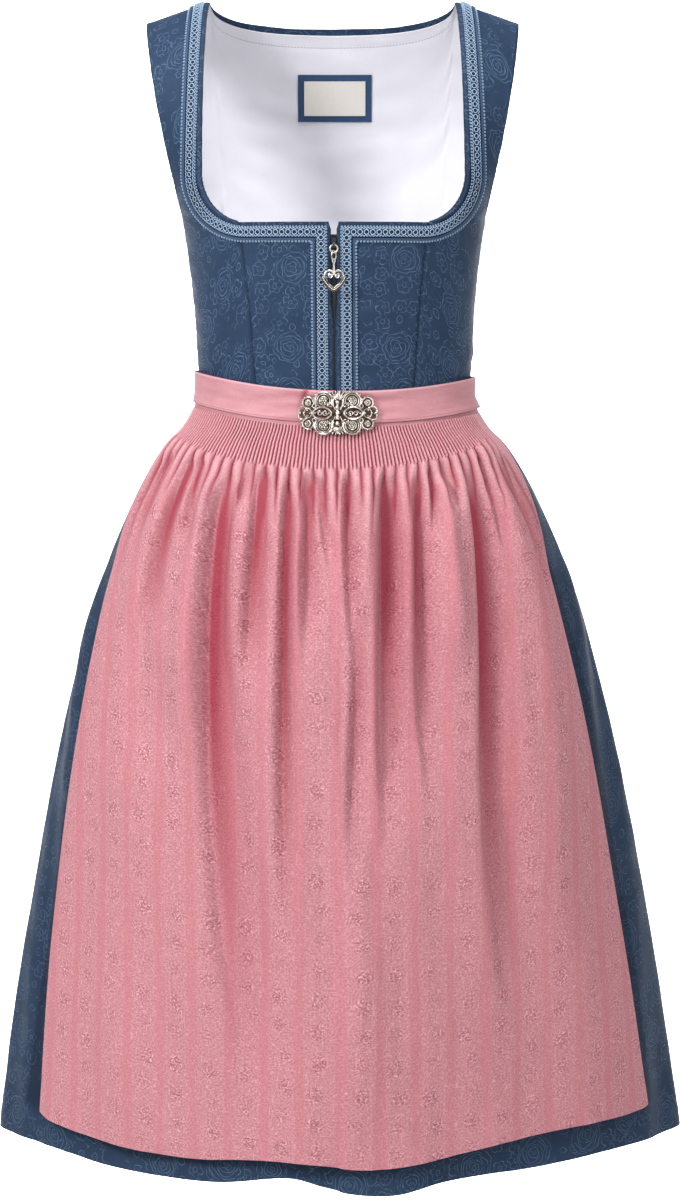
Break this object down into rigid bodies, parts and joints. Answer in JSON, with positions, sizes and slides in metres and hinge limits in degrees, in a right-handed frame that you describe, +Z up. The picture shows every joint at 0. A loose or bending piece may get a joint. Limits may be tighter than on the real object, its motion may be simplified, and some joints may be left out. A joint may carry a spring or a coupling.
{
  "type": "dirndl dress with apron, filled out with no wearer",
  "caption": "Sleeveless midi dirndl with a square-necked zip bodice, full gathered skirt and smocked apron closed by an openwork clasp.",
  "frame": {"origin": "midway between the shoulder straps, level with their inner edges, in the plane of the side seams", "axes": "+Z up, -Y to the front, +X to the right as seen from the front"},
  "size_m": [0.6552, 0.421, 1.0959],
  "materials": {
    "jacquard": "dark blue jacquard with outlined roses, soft sheen",
    "lining": "pale lilac-white plain lining",
    "label_frame": "dark blue cloth",
    "label_cloth": "plain cream cloth, bare",
    "braid": "light blue looped braid",
    "zip": "black zip",
    "slider": "black lacquered slider",
    "silver": "antique silver",
    "apron_cloth": "dusty pink cloth with woven stripes and small flowers",
    "apron_band": "dusty pink plain cloth"
  },
  "bodies": {
    "root": {"bodice_front_center_left": "jacquard", "bodice_front_center_right": "jacquard", "bodice_front_side_left": "jacquard", "bodice_front_side_right": "jacquard", "bodice_back": "jacquard", "back_lining": "lining", "label_backing": "label_frame", "label_patch": "label_cloth", "braid_left": "braid", "braid_right": "braid", "zip_tape": "zip", "zip_chain": "zip", "zip_slider": "slider", "skirt_front": "jacquard", "skirt_back": "jacquard", "apron_panel": "apron_cloth", "apron_waistband": "apron_band", "apron_tie": "apron_band", "apron_clasp_left": "silver", "apron_clasp_right": "silver"},
    "pull_links": {"pull_ring": "silver", "pull_link": "silver"},
    "heart": {"heart_pendant": "silver"}
  },
  "joints": [
    {"name": "pull_tilt", "type": "hinge", "parent": "root", "child": "pull_links", "pos_m": [-0.00155, -0.1274, -0.231], "axis": [-1, 0, 0], "range_deg": [0, 150]},
    {"name": "heart_swing", "type": "hinge", "parent": "pull_links", "child": "heart", "pos_m": [-0.00155, -0.1274, -0.2453], "axis": [0, 1, 0], "range_deg": [-30, 30]}
  ]
}
